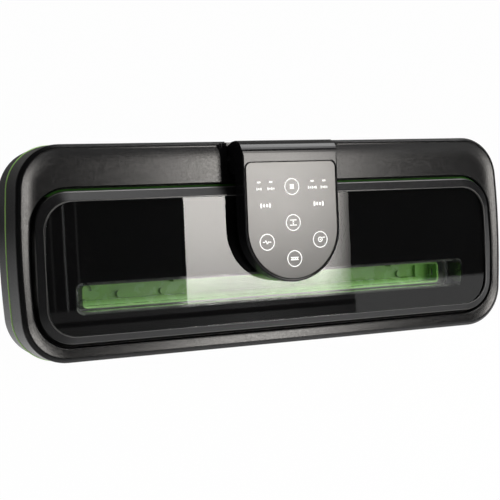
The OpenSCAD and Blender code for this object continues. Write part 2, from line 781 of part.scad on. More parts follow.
// Outer form of the handle: rounded nose, straight sides, rear that rolls down to the shaft's lobe
module handle_form() {
    edge = 1.3;
    half = concat([[0, handle_under], [handle_r - 1, handle_under], [handle_r, handle_under + 1]],
                  arc(handle_r - edge, handle_z - edge, edge, edge, 0, 90, 6), [[0, handle_z]]);
    low = pocket_floor;
    section = concat([[-handle_r, low], [handle_r, low]],
                     arc(handle_r - edge, handle_z - edge, edge, edge, 0, 90, 6),
                     arc(edge - handle_r, handle_z - edge, edge, edge, 90, 180, 6));
    side = concat(
        [[-far, handle_under], [lobe_front - 2.4, handle_under], [lobe_front - 1.2, handle_under - 6.5]],
        arc(shaft_y, shaft_z, lobe_r, lobe_r, 180, 360, 24),
        [[rear_y - 0.4, handle_z - 18]],
        arc(rear_y - roll_r, handle_z - roll_r, roll_r, roll_r, 0, 90, 12),
        [[-far, handle_z]]);
    intersection() {
        union() {
            translate([0, nose_y, 0]) rotate([0, 0, 180]) rotate_extrude(angle = 180) polygon(half);
            translate([0, rear_y + 1, 0]) rotate([90, 0, 0]) linear_extrude(rear_y + 1 - nose_y) polygon(section);
        }
        translate([-handle_r - 1, 0, 0]) rotate([90, 0, 90]) linear_extrude(handle_w + 2) polygon(side);
    }
}

// Stadium-ended plan of the handle's inside, shrunk by d
module handle_plan(d, rear) {
    translate([0, nose_y]) circle(handle_r - d);
    translate([d - handle_r, nose_y]) square([handle_w - 2 * d, rear - nose_y]);
}

module handle_cavity() {
    translate([0, 0, handle_under + wall]) linear_extrude(handle_t - wall - 2.6) handle_plan(wall, rear_y - roll_r - 2);
}

panel_rear = rear_y - roll_r - 5;
panel_corner = 5.5;

// Plan of the control panel, grown by d
module panel_plan(d = 0) {
    r = handle_r - panel_rim + d;
    translate([0, nose_y]) circle(r);
    translate([-r, nose_y]) square([2 * r, panel_rear - panel_corner - nose_y]);
    translate([panel_corner - r, nose_y]) square([2 * (r - panel_corner), panel_rear + d - nose_y]);
    for (x = [-1, 1]) translate([x * (r - panel_corner), panel_rear + d - panel_corner]) circle(panel_corner);
}

boss_spots = [for (x = [-34, 34], y = [18, 54]) [x, y]];
handle_boss_r = 3;
pcb = [[-27, -14], [27, 58]];
pcb_z = handle_under + 8;

module handle_cover() {
    color("#222325") difference() {
        union() {
            difference() {
                intersection() {
                    handle_form();
                    block([-far, -far, seam_z], [far, far, far]);
                }
                handle_cavity();
            }
            for (p = boss_spots) translate([p[0], p[1], seam_z]) cylinder(r = handle_boss_r, h = handle_z - seam_z - 2);
        }
        translate([0, 0, handle_z - panel_t]) linear_extrude(far) panel_plan(0.55);
        for (p = boss_spots) translate([p[0], p[1], 0]) cylinder(r = 1.1, h = handle_z - 4);
    }
}

module handle_base() {
    color("#1c1d1f") difference() {
        union() {
            difference() {
                intersection() {
                    handle_form();
                    block([-far, -far, 0], [far, far, seam_z]);
                }
                handle_cavity();
            }
            for (p = boss_spots) translate([p[0], p[1], handle_under]) cylinder(r = handle_boss_r, h = seam_z - handle_under);
            for (x = [pcb[0][0] + 3, pcb[1][0] - 3], y = [pcb[0][1] + 3, pcb[1][1] - 3]) {
                translate([x, y, handle_under]) cylinder(r = 2, h = pcb_z - handle_under);
            }
        }
        // gaps between the three knuckles on the shaft
        both_ends() block([9, lobe_front - 3, 0], [28, far, shaft_z + 6]);
        bar_x(-far, far, shaft_y, shaft_z, shaft_r);
        for (p = boss_spots) translate([p[0], p[1], 0]) {
            cylinder(r = 1.1, h = far);
            cylinder(r = 2.3, h = handle_under + 1.8);
        }
    }
}

module control_panel() {
    color("#55524f") translate([0, 0, handle_z - panel_t]) linear_extrude(panel_t - 0.05) panel_plan();
}

module control_board() {
    color("#1f5a34") block([pcb[0][0], pcb[0][1], pcb_z], [pcb[1][0], pcb[1][1], pcb_z + 1.4]);
}

led_x = [-26, -16.5, 16.5, 26];
led_y = 47;

module indicator_leds() {
    z = pcb_z + 1.4;
    color("#d8e6c8") for (x = led_x) block([x - 1, led_y - 0.6, z], [x + 1, led_y + 0.6, handle_z - panel_t - 1.6]);
}

pad_spots = [[0, 43.5], [0, 15.3], [0, -12.9 + 4], [-20, 1], [20, 1]];

module touch_pads() {
    z = pcb_z + 1.4;
    color("#c8a24a") for (p = pad_spots) translate([p[0], p[1], z]) difference() {
        cylinder(r = 4, h = handle_z - panel_t - 1.6 - z);
        translate([0, 0, -1]) cylinder(r = 3.2, h = 9);
    }
}

module handle_shaft() {
    color("#a9abae") {
        bar_x(-crank_x - crank_t / 2, crank_x + crank_t / 2, shaft_y, shaft_z, shaft_r);
        both_ends() {
            crank(shaft_y, shaft_z, -90 + half_swing, crank_r, 2.6);
        }
    }
}

// Crank at [y, z] with its arm turned by a from +Y, and the pin at its end
module crank(y, z, a, r, hub_r) {
    translate([crank_x - crank_t / 2, y, z]) rotate([a, 0, 0]) {
        rotate([0, 90, 0]) cylinder(r = hub_r, h = crank_t);
        translate([0, 0, -1.9]) cube([crank_t, r, 3.8]);
        translate([0, r, 0]) rotate([0, 90, 0]) cylinder(r = 1.9, h = crank_t);
        translate([0, r, 0]) rotate([0, 90, 0]) cylinder(r = crank_pin_r, h = crank_t + side_gap + 2.4);
    }
}

module handle_screws() {
    color("#8b8d90") for (p = boss_spots) translate([p[0], p[1], handle_under + 0.2]) {
        screw(1.1, 7, 2, 1.6);
    }
}

// ---- Lock linkage inside the lid ----

module link_rods() {
    rear_pin = shaft_y + link_shift;
    front_pin = latch_y + link_shift;
    slot = crank_pin_r + 0.4;
    color("#77797c") both_ends() {
        translate([rod_x, rear_pin - 2, link_z]) rotate([90, 0, 0]) cylinder(r = 1.2, h = rear_pin - front_pin - 4);
        difference() {
            block([rod_x - 0.8, rear_pin - 3, link_z - 4.2], [rod_x + 0.8, rear_pin + 3, link_z + 4.2]);
            block([rod_x - 2, rear_pin - slot, link_z - 2.6], [rod_x + 2, rear_pin + slot, link_z + 2.2]);
        }
        difference() {
            block([rod_x - 0.8, front_pin - 3, link_z - 4.2], [rod_x + 0.8, front_pin + 3, link_z + 2]);
            block([rod_x - 2, front_pin - slot, link_z - 2.4], [rod_x + 2, front_pin + slot, far]);
        }
    }
}

module latch_hooks() {
    color("#a9abae") both_ends() {
        bar_x(bearing_x[0] - 1.5, crank_x + crank_t / 2, latch_y, latch_z, latch_r);
        crank(latch_y, latch_z, 90 - latch_swing / 2, latch_crank, 2.8);
        translate([hook_x - hook_w / 2, latch_y, latch_z]) {
            rotate([0, 90, 0]) cylinder(r = 3, h = hook_w);
            translate([0, -2, -hook_drop]) cube([hook_w, 4, hook_drop]);
            translate([0, -5, -hook_drop]) cube([hook_w, 5, 3]);
        }
    }
}

base_shell();
trim_band();
base_deck();
rubber_feet();
base_screws();
lower_gasket();
drip_tray();
seal_bar();
heating_strip();
sealing_tape();
latch_catches();
inlet_socket();
inlet_pins();
power_board();
transformer();
pump_motor();
pump_head();
vacuum_tube();
lid_switch();
lid_frame();
gap_trim();
bezel();
bezel_screws();
window();
window_mask();
strip_holder();
press_strip();
hinge_pins();
handle_cover();
handle_base();
control_panel();
control_board();
indicator_leds();
touch_pads();
handle_shaft();
handle_screws();
link_rods();
latch_hooks();
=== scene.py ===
"""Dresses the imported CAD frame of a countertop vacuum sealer: finishes, printed marks and studio."""

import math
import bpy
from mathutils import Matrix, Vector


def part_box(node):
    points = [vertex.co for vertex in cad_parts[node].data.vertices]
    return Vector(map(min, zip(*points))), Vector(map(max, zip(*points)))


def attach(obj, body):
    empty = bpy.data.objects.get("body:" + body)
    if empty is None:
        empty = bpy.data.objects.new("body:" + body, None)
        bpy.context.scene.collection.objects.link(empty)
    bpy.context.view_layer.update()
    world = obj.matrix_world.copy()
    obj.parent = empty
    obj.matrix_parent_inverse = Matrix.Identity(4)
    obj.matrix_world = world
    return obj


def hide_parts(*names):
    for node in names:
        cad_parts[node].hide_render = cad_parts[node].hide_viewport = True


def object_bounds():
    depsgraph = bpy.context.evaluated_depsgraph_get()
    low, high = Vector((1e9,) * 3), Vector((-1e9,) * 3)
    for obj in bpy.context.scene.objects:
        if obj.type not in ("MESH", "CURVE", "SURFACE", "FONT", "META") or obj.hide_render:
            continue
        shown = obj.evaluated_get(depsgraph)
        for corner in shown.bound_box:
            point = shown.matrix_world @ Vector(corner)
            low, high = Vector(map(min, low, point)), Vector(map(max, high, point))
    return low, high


bl_info = {
    "name": "Vacuum Sealer Looks",
    "version": (1, 0, 0),
    "blender": (4, 5, 0),
    "location": "View3D > Sidebar > Sealer",
    "description": "Finishes, printed marks and studio for a countertop vacuum sealer",
    "category": "Object",
}

import bpy
from mathutils import Euler, Vector

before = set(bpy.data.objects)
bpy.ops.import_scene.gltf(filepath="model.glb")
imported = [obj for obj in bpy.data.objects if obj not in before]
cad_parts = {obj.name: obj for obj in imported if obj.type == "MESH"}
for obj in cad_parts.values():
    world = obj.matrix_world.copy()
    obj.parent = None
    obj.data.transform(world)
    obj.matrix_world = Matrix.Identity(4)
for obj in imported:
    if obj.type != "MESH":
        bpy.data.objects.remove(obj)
CAD_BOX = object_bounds()

PANEL_LOW, PANEL_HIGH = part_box("control_panel")
TRAY_LOW, TRAY_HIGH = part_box("drip_tray")
BEZEL_LOW, BEZEL_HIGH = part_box("bezel")

MM = 0.001


# ---- Measures and tones of the finishes, in metres and as shares of 1 ----

DRIFT_WIDTH = 0.09          # patches over which a moulded colour drifts
RECESS_GROW = 0.0024        # the lid's recess beyond the bezel's outline
RECESS_RADIUS = 0.0285
RECESS_BRIM = 0.0752        # below this height the recess gets painted shade and duller gloss
# colour of the painted shade down in the lid's recess
RECESS_SHADE_TONE = (0.002, 0.002, 0.002, 1)
BEZEL_HIGHLIGHT_HALF = 0.0006         # half width over which the painted highlight on a bezel edge fades out
# lighter colour of the painted highlights on the bezel's edges
BEZEL_HIGHLIGHT_TONE = (0.065, 0.065, 0.063, 1)
CHAMBER_START = 0.0026      # from the tray's end to the smoky end of the chamber
CHAMBER_END = 0.1725
# colour of the painted highlight along the edge of the chamber's end
CHAMBER_HIGHLIGHT_TONE = (0.62, 0.63, 0.58, 1)
# smoky grey of the chamber's end, painted lighter towards the front as painted light on its front wall
SMOKE_AND_PAINTED_LIGHT = ((0.0, (0.06, 0.07, 0.065)), (0.5, (0.09, 0.10, 0.09)), (0.75, (0.30, 0.31, 0.28)))
PANEL_RADIUS = 0.0055       # rear corners of the panel
PANEL_GAP_SHADE_WIDTH = 0.0008         # black line of painted shade along the panel's edge, where the gap round it lies
# colour of the painted shade along the panel's edge
PANEL_GAP_SHADE_TONE = (0.003, 0.003, 0.003, 1)
PRINT_PAINTED_GLOW = 0.35           # painted glow that the printed marks give off, though they are no lamp

# ---- Places of the printed marks, in millimetres from the middle of the object ----

KEYS = {
    "stop_key": (0, 43.5), "vacuum_key": (0, 15.3), "seal_key": (0, -12.9),
    "pulse_key": (-23.5, 1.0), "pump_key": (23.5, 1.0),
}
PULSE = (       # right, up, length and turn of each stroke of the pulse sign
    (-3.0, 0, 1.8, 0), (-1.7, 0.6, 1.7, 65), (-0.6, 0, 3.2, -72), (0.7, -0.4, 2.2, 65), (2.4, 0, 2.2, 0))
LAMPS = ((-28.8, 3), (-18.4, 4), (18.2, 5), (28.8, 4))      # place and number of bars in the sign
LAMP_ROW, LAMP_SIZE = 47.4, (3.2, 1.3)
SIGN_ROW, SIGN_PITCH, SIGN_WIDTH = 42.3, 1.7, 1.05
SIGN_HEIGHTS = (2.4, 1.7, 2.1, 1.7, 2.4)
GROUP_PLACES = (-23.7, 23.3)
GROUP_ROW, GROUP_PITCH, GROUP_WIDTH = 29.3, 2.5, 1.5
GROUP_HEIGHTS = (3.8, 2.6, 2.6, 3.8)

# ---- The room that gloss mirrors, by the X and Y of the unit vector along which a ray leaves ----

WALL_EDGE = (-0.0137, 1, 0.0840)        # normal of the plane where the bright wall in front ends
WALL_BLUR = 0.0012
WALL_LEVELS = (                         # X and level
    (0.0, 0.05), (0.2, 0.16), (0.30, 0.18), (0.37, 0.26), (0.437, 0.47), (0.475, 0.30), (0.51, 0.17))
WALL_STEP = (0.5100, 0.5112)            # X at which the dim left part gives way to the right part
WALL_RIGHT = 0.92
SKIRTING_LEVELS = (
    (0.0, 0.20), (0.28, 0.38), (0.36, 0.48), (0.437, 0.98), (0.475, 0.88), (0.55, 0.50), (0.65, 0.36))
SKIRTING_GAIN = 2.0
SKIRTING_FADE = (-0.16, -0.45)          # Y over which the wall turns into its skirting
RAIL_PLANE = (-0.00170, 1, 0.0917)      # normal of the plane that the dark rail lies in
RAIL_FADE = (0.0018, 0.0026)            # distance from that plane over which the rail fades out
RAIL_END = (0.5095, 0.5118)
RAIL_DEPTH = 0.96                       # share of the wall's light that the rail takes away
LIGHT_GAPS = ((0.2903, 0.12), (0.3000, 0.62), (0.3096, 0.18))       # X and strength
GAP_FADE = (0.0003, 0.0012)
STRIP_RISE, STRIP_FALL, STRIP_SIDE = (0.64, 0.80), (0.93, 1.0), (0.12, 0.30)       # Y, Y and X
STRIP_TOP = 0.3                         # share of the strip light that is left straight behind

# ---- The stage ----

FLOOR_DROP = 0.0002                     # the floor lies this far below the feet
# grey levels of the floor's painted light in front and painted shade behind
FLOOR_PAINTED_TONES, FLOOR_FADE = (0.80, 0.25), (-0.10, 0.03)
FLOOR_SEEN = 0.985                      # share of plain white that the camera sees
FLOOR_GLOSS_FADE = (-0.09, 0.02)
FILL_SIZE, FILL_HEIGHT = 4.0, 3.0
FILL_GAIN = math.pi * FILL_SIZE ** 2 * 1.6      # watts of the fill lamp at a fill light of 1
SOFTBOX_COLOUR = (1.0, 0.965, 0.92, 1)
SOFTBOX_FRONT, SOFTBOX_REAR, SOFTBOX_SIDE = 0.2, 0.4, 0.06      # where each edge stops fading
SOFTBOX_LEVELS = ((0.0, 0.30), (0.22, 0.62), (0.6, 0.86), (1.0, 1.0))
SOFTBOX_REAR_LEVEL, SOFTBOX_SIDE_LEVEL = 0.35, 0.12


# ---- Values a user would change ----


class SealerFinishes(bpy.types.PropertyGroup):
    body_black: bpy.props.FloatVectorProperty(
        name="Body black", description="Colour of the moulded housing and lid",
        default=(0.012, 0.012, 0.013), subtype="COLOR", min=0, max=1)
    deck_black: bpy.props.FloatVectorProperty(
        name="Deck black", description="Colour of the deck under the window",
        default=(0.006, 0.006, 0.0065), subtype="COLOR", min=0, max=1)
    bezel_grey: bpy.props.FloatVectorProperty(
        name="Bezel grey", description="Colour of the frame around the window",
        default=(0.010, 0.010, 0.0105), subtype="COLOR", min=0, max=1)
    handle_black: bpy.props.FloatVectorProperty(
        name="Handle black", description="Colour of the lock handle",
        default=(0.010, 0.010, 0.011), subtype="COLOR", min=0, max=1)
    panel_grey: bpy.props.FloatVectorProperty(
        name="Panel grey", description="Colour of the printed control film",
        default=(0.080, 0.076, 0.071), subtype="COLOR", min=0, max=1)
    trim_green: bpy.props.FloatVectorProperty(
        name="Trim green", description="Colour of the band between lid and base",
        default=(0.52, 0.88, 0.26), subtype="COLOR", min=0, max=1)
    tray_green: bpy.props.FloatVectorProperty(
        name="Tray green", description="Colour of the removable drip tray",
        default=(0.20, 0.46, 0.085), subtype="COLOR", min=0, max=1)
    window_smoke: bpy.props.FloatVectorProperty(
        name="Window smoke", description="Tint of the lid window",
        default=(0.80, 0.82, 0.81), subtype="COLOR", min=0, max=1)
    print_white: bpy.props.FloatVectorProperty(
        name="Print white", description="Colour of the printed key marks",
        default=(0.95, 0.95, 0.93), subtype="COLOR", min=0, max=1)
    grain: bpy.props.FloatProperty(
        name="Grain size", description="Width of one grain of the moulded texture",
        default=0.0007, unit="LENGTH", min=0.0001, max=0.005)


class SealerMarks(bpy.types.PropertyGroup):
    key_radius: bpy.props.FloatProperty(
        name="Key ring radius", description="Outer radius of the ring around a key",
        default=0.00655, unit="LENGTH", min=0.004, max=0.01)
    line: bpy.props.FloatProperty(
        name="Line width", description="Width of a printed line",
        default=0.00074, unit="LENGTH", min=0.0002, max=0.002)
    ink: bpy.props.FloatProperty(
        name="Ink height", description="Height of the ink above the panel",
        default=0.00004, unit="LENGTH", min=0.00001, max=0.00005)


class SealerPrint(bpy.types.PropertyGroup):
    margin: bpy.props.FloatProperty(
        name="Margin", description="Distance of the print from the pane's edge",
        default=0.0008, unit="LENGTH", min=0, max=0.004)
    outer_radius: bpy.props.FloatProperty(
        name="Outer radius", description="Plan radius of the print's outer corners",
        default=0.0235, unit="LENGTH", min=0.01, max=0.04)
    bond: bpy.props.FloatProperty(
        name="Bond", description="How far the print is bonded into the pane",
        default=0.0001, unit="LENGTH", min=0.00005, max=0.0005)
    field_half: bpy.props.FloatProperty(
        name="Field half length", description="Half the length of the clear field over the chamber",
        default=0.173, unit="LENGTH", min=0.1, max=0.18)
    field_front: bpy.props.FloatProperty(
        name="Field front", description="Front edge of the clear field",
        default=-0.046, unit="LENGTH", min=-0.06, max=0)
    field_rear: bpy.props.FloatProperty(
        name="Field rear", description="Rear edge of the clear field",
        default=-0.022, unit="LENGTH", min=-0.06, max=0)
    field_radius: bpy.props.FloatProperty(
        name="Field radius", description="Plan radius of the clear field's corners",
        default=0.006, unit="LENGTH", min=0.002, max=0.01)
    dot_pitch: bpy.props.FloatProperty(
        name="Dot pitch", description="Distance between the dots of the halftone edge",
        default=0.0009, unit="LENGTH", min=0.0004, max=0.003)
    dot_radius: bpy.props.FloatProperty(
        name="Dot radius", description="Radius of the largest dots of the halftone edge",
        default=0.00036, unit="LENGTH", min=0.0001, max=0.001)
    dot_rows: bpy.props.IntProperty(
        name="Dot rows", description="Rows of dots in the halftone edge",
        default=3, min=1, max=4)


class SealerStudio(bpy.types.PropertyGroup):
    camera_place: bpy.props.FloatVectorProperty(
        name="Camera place", description="Where the camera stands",
        default=(-0.45392, 0.02706, 0.94892), subtype="TRANSLATION", unit="LENGTH")
    camera_turn: bpy.props.FloatVectorProperty(
        name="Camera turn", description="How the camera is turned",
        default=tuple(math.radians(angle) for angle in (-0.7151, -26.0670, -2.6776)),
        subtype="EULER", unit="ROTATION")
    camera_lens: bpy.props.FloatProperty(
        name="Lens", description="Focal length in millimetres on a 36 mm sensor",
        default=88.735, min=20, max=200)
    room_light: bpy.props.FloatProperty(
        name="Room light", description="Strength of the bright half of the room, in front of the object",
        default=1.0, min=0, max=5)
    dark_side: bpy.props.FloatProperty(
        name="Dark side", description="Strength of the dim half of the room, behind and above the object",
        default=0.03, min=0, max=5)
    rear_light: bpy.props.FloatProperty(
        name="Rear light", description="Strength of the strip light behind the object",
        default=6.5, min=0, max=20)
    floor_gloss: bpy.props.FloatProperty(
        name="Floor in gloss", description="Strength at which gloss mirrors the pale floor in front",
        default=0.6, min=0, max=1)
    fill_light: bpy.props.FloatProperty(
        name="Fill light", description="Share of plain light from the overhead fill lamp",
        default=0.2, min=0, max=5)
    softbox_low: bpy.props.FloatVectorProperty(
        name="Softbox corner", description="Front left corner of the softbox",
        default=(0.425, -0.142, 1.28), subtype="TRANSLATION", unit="LENGTH")
    softbox_size: bpy.props.FloatVectorProperty(
        name="Softbox size", description="Width and depth of the softbox",
        default=(0.348, 0.89), size=2, unit="LENGTH")
    softbox_radiance: bpy.props.FloatProperty(
        name="Softbox radiance", description="How bright the softbox looks when seen in a gloss surface",
        default=15.0, min=0, max=100)
    floor_size: bpy.props.FloatProperty(
        name="Floor radius", description="Radius of the pale floor",
        default=4.0, unit="LENGTH", min=1, max=20)


GROUPS = (
    ("sealer_finishes", SealerFinishes), ("sealer_marks", SealerMarks),
    ("sealer_print", SealerPrint), ("sealer_studio", SealerStudio))


# ---- Shader building blocks ----


class Nodes:
    """A node tree under construction, laid out from left to right."""

    def __init__(self, tree):
        self.tree = tree
        self.tree.nodes.clear()
        self.column = 0

    def add(self, kind, **values):
        node = self.tree.nodes.new(kind)
        node.location = (-220 * self.column, 0)
        self.column += 1
        for key, value in values.items():
            setattr(node, key, value)
        return node

    def feed(self, socket, value):
        """Links an output to socket, or sets a plain value there."""
        if isinstance(value, bpy.types.NodeSocket):
            self.tree.links.new(value, socket)
        else:
            socket.default_value = value

    def maths(self, operation, *values):
        node = self.add("ShaderNodeMath", operation=operation)
        for socket, value in zip(node.inputs, values):
            self.feed(socket, value)
        return node.outputs[0]

    def total(self, first, *others):
        for other in others:
            first = self.maths("ADD", first, other)
        return first

    def product(self, first, *others):
        for other in others:
            first = self.maths("MULTIPLY", first, other)
        return first

    def rest(self, share):
        """What share leaves of 1."""
        return self.maths("SUBTRACT", 1.0, share)

    def parts(self, vector):
        """The outputs X, Y and Z of a vector."""
        split = self.add("ShaderNodeSeparateXYZ")
        self.feed(split.inputs[0], vector)
        return split.outputs

    def reach(self, vector, normal):
        """How far vector reaches along normal."""
        dot = self.add("ShaderNodeVectorMath", operation="DOT_PRODUCT")
        self.feed(dot.inputs[0], vector)
        self.feed(dot.inputs[1], normal)
        return dot.outputs["Value"]

    def range(self, source, low, high, start=0.3, end=0.7):
        """From low to high while source goes from start to end."""
        spread = self.add("ShaderNodeMapRange")
        for key, value in (("From Min", start), ("From Max", end), ("To Min", low), ("To Max", high)):
            spread.inputs[key].default_value = value
        self.feed(spread.inputs["Value"], source)
        return spread.outputs["Result"]

    def ramp(self, source, stops):
        """Colours along source, given as (place, colour) pairs."""
        ramp = self.add("ShaderNodeValToRGB")
        while len(ramp.color_ramp.elements) < len(stops):
            ramp.color_ramp.elements.new(0.5)
        for element, (place, colour) in zip(ramp.color_ramp.elements, stops):
            element.position = place
            element.color = (*colour[:3], 1)
        self.feed(ramp.inputs["Fac"], source)
        return ramp.outputs["Color"]

    def grey_ramp(self, source, stops):
        """Grey levels along source, given as (place, level) pairs."""
        return self.ramp(source, [(place, (level,) * 3) for place, level in stops])

    def blend(self, share, first, second):
        """Colour that goes from first to second as share goes from 0 to 1."""
        mix = self.add("ShaderNodeMix", data_type="RGBA")
        for place, value in ((0, share), (6, first), (7, second)):
            self.feed(mix.inputs[place], value)
        return mix.outputs[2]

    def blend_shaders(self, share, first, second):
        mix = self.add("ShaderNodeMixShader")
        for socket, value in zip(mix.inputs, (share, first, second)):
            self.feed(socket, value)
        return mix.outputs[0]


class Finish(Nodes):
    """A material under construction, around one Principled shader on Object coordinates."""

    def __init__(self, name):
        self.material = bpy.data.materials.new(name)
        self.material.use_nodes = True
        super().__init__(self.material.node_tree)
        self.output = self.add("ShaderNodeOutputMaterial")
        self.shader = self.add("ShaderNodeBsdfPrincipled")
        self.feed(self.output.inputs["Surface"], self.shader.outputs["BSDF"])
        self.place = self.add("ShaderNodeTexCoord").outputs["Object"]

    def set(self, **values):
        """Sets or links inputs of the shader, named with _ for a space."""
        for key, value in values.items():
            self.feed(self.shader.inputs[key.replace("_", " ")], value)

    def noise(self, width, detail=2.0, stretch=None, roughness=0.5):
        """Noise whose grains are about width across, in metres."""
        place = self.place
        if stretch:
            mapping = self.add("ShaderNodeMapping")
            self.feed(mapping.inputs["Scale"], stretch)
            self.feed(mapping.inputs["Vector"], place)
            place = mapping.outputs["Vector"]
        noise = self.add("ShaderNodeTexNoise")
        for key, value in (("Scale", 1 / width), ("Detail", detail),
                           ("Roughness", roughness), ("Vector", place)):
            self.feed(noise.inputs[key], value)
        return noise.outputs["Fac"]

    def drift(self, colour, width, spread=0.12):
        """Colour that drifts a little around colour."""
        dark = [c * (1 - spread) for c in colour]
        light = [min(c * (1 + spread), 1) for c in colour]
        return self.ramp(self.noise(width), [(0.3, dark), (0.7, light)])

    def mottled(self, colour, width, spread=0.12):
        self.set(Base_Color=self.drift(colour, width, spread))

    def worn(self, low, high, width):
        """Roughness that drifts between low and high."""
        self.set(Roughness=self.range(self.noise(width, detail=3), low, high))

    def relief(self, height, depth):
        """Relief depth metres deep where height goes from 0 to 1."""
        bump = self.add("ShaderNodeBump")
        for key, value in (("Strength", 1.0), ("Distance", depth), ("Height", height)):
            self.feed(bump.inputs[key], value)
        self.set(Normal=bump.outputs["Normal"])

    def grained(self, grain, depth, roughness=0.6):
        """The fine grain of a spark-eroded mould."""
        self.relief(self.noise(grain, detail=3, roughness=roughness), depth)

    def outline(self, middle, half, radius):
        """Distance in metres from a rounded rectangle in plan, below zero inside it."""
        split = self.parts(self.place)
        beyond = []
        for axis in (0, 1):
            off = self.maths("ABSOLUTE", self.maths("SUBTRACT", split[axis], middle[axis]))
            beyond.append(self.maths("SUBTRACT", off, half[axis] - radius))
        outside = [self.maths("MAXIMUM", side, 0.0) for side in beyond]
        corner = self.maths("POWER", self.total(*(self.product(side, side) for side in outside)), 0.5)
        within = self.maths("MINIMUM", self.maths("MAXIMUM", *beyond), 0.0)
        return self.maths("SUBTRACT", self.total(corner, within), radius)


def plan(low, high, grow_x, grow_y, radius, forward=0.0):
    """Middle, half size and radius of a rounded rectangle in plan, grown from the box low to high."""
    middle = ((low.x + high.x) / 2, (low.y + high.y) / 2 - forward)
    return middle, ((high.x - low.x) / 2 + grow_x, (high.y - low.y) / 2 + grow_y), radius


def moulded_plastic(name, colour, rough, grain, depth, gloss=0.4):
    """Spark-eroded or satin moulded plastic."""
    f = Finish(name)
    f.mottled(colour, DRIFT_WIDTH)
    f.worn(rough * 0.9, rough * 1.1, 0.03)
    f.grained(grain, depth)
    f.set(Specular_IOR_Level=gloss)
    return f.material


def lid_plastic(name, colour, rough, grain, depth):
    """Spark-eroded lid with a fine speckle, with painted shade and duller gloss down in the recess round
    the bezel.
    """
    f = Finish(name)
    recess = plan(BEZEL_LOW, BEZEL_HIGH, RECESS_GROW, RECESS_GROW, RECESS_RADIUS)
    inside = f.range(f.outline(*recess), 1.0, 0.0, -0.0004, 0.0004)
    low = f.range(f.parts(f.place)["Z"], 1.0, 0.0, RECESS_BRIM - 0.0012, RECESS_BRIM)
    # painted shade: below the brim the recess is painted near black
    recess_shade = f.product(inside, low)
    speckle = f.range(f.noise(0.0011, detail=2, roughness=0.7), 0.25, 0.47, 0.32, 0.68)
    wear = f.range(f.noise(0.0018, detail=3), rough * 0.80, rough * 1.20)
    f.set(Base_Color=f.blend(recess_shade, f.drift(colour, DRIFT_WIDTH), RECESS_SHADE_TONE),
          Roughness=f.total(wear, f.product(recess_shade, 0.25)),
          Specular_IOR_Level=f.product(speckle, f.range(recess_shade, 1.0, 0.2, 0.0, 1.0)))
    f.grained(grain, depth, roughness=0.7)
    return f.material


def deck_plastic(name, colour, rough, grain, depth):
    """Deck with a smoky grey chamber end beyond the tray, painted lighter towards the front, closed off by
    a thin painted highlight.
    """
    f = Finish(name)
    start = Vector((TRAY_HIGH.x + CHAMBER_START, TRAY_LOW.y))
    away = f.outline(*plan(start, Vector((CHAMBER_END, TRAY_HIGH.y)), 0.0, 0.0015, 0.003))
    inside = f.range(away, 1.0, 0.0, -0.0003, 0.0003)
    # painted highlight along the outline of the chamber's end
    edge = f.range(f.maths("ABSOLUTE", away), 1.0, 0.0, 0.0003, 0.0006)
    # smoky grey, with painted light that lightens it towards the front
    smoke_and_light = f.ramp(f.range(f.parts(f.place)["Y"], 1.0, 0.0, TRAY_LOW.y, TRAY_HIGH.y), SMOKE_AND_PAINTED_LIGHT)
    end = f.blend(inside, f.drift(colour, DRIFT_WIDTH), smoke_and_light)
    f.set(Base_Color=f.blend(edge, end, CHAMBER_HIGHLIGHT_TONE), Specular_IOR_Level=0.4)
    f.worn(rough * 0.9, rough * 1.1, 0.03)
    f.grained(grain, depth)
    return f.material


def bezel_plastic(name, colour, rough, grain, depth):
    """Satin bezel with a painted highlight along each of its two thin moulded edges."""
    f = Finish(name)
    lines = []
    for edge in (plan(BEZEL_LOW, BEZEL_HIGH, -0.0005, -0.0005, 0.0256),
                 plan(BEZEL_LOW, BEZEL_HIGH, -0.0069, -0.00665, 0.0218, forward=0.00095)):
        lines.append(f.range(f.maths("ABSOLUTE", f.outline(*edge)), 1.0, 0.0, BEZEL_HIGHLIGHT_HALF * 0.5, BEZEL_HIGHLIGHT_HALF))
    # painted highlight: the bezel is painted lighter along both edges
    painted_highlights = f.maths("MAXIMUM", *lines)
    f.set(Base_Color=f.blend(painted_highlights, f.drift(colour, 0.06, 0.1), BEZEL_HIGHLIGHT_TONE), IOR=1.49)
    f.worn(rough * 0.9, rough * 1.1, 0.004)
    f.grained(grain, depth)
    return f.material


def brushed_metal(name, colour, rough, stretch=(1, 12, 12)):
    """Drawn or brushed metal with fine lines along its length."""
    f = Finish(name)
    f.mottled(colour, 0.02, 0.08)
    f.worn(rough * 0.75, rough * 1.25, 0.004)
    f.relief(f.noise(0.004, detail=4, stretch=stretch), 0.00002)
    f.set(Metallic=1.0)
    return f.material


def rubber(name, colour, rough, grain=0.0004):
    """Soft matt rubber or foam with a closed skin."""
    f = Finish(name)
    f.mottled(colour, 0.008, 0.15)
    f.worn(rough * 0.9, min(rough * 1.1, 1), 0.01)
    f.relief(f.noise(grain, detail=3), 0.00004)
    return f.material


def tray_plastic(name, colour):
    """Glossy green tray, with a painted highlight that makes its thin front wall paler."""
    f = Finish(name)
    # painted highlight: the thin front wall is painted paler, as if lit
    painted_front_light = f.range(f.parts(f.place)["Y"], 1.0, 0.0, TRAY_LOW.y + 0.0008, TRAY_LOW.y + 0.0045)
    wall = (*[min(c * 1.5 + 0.16, 1) for c in colour], 1)
    f.set(Base_Color=f.blend(painted_front_light, f.drift(colour, 0.03, 0.1), wall), IOR=1.5)
    f.worn(0.20, 0.32, 0.01)
    f.relief(f.noise(0.004), 0.00003)
    return f.material


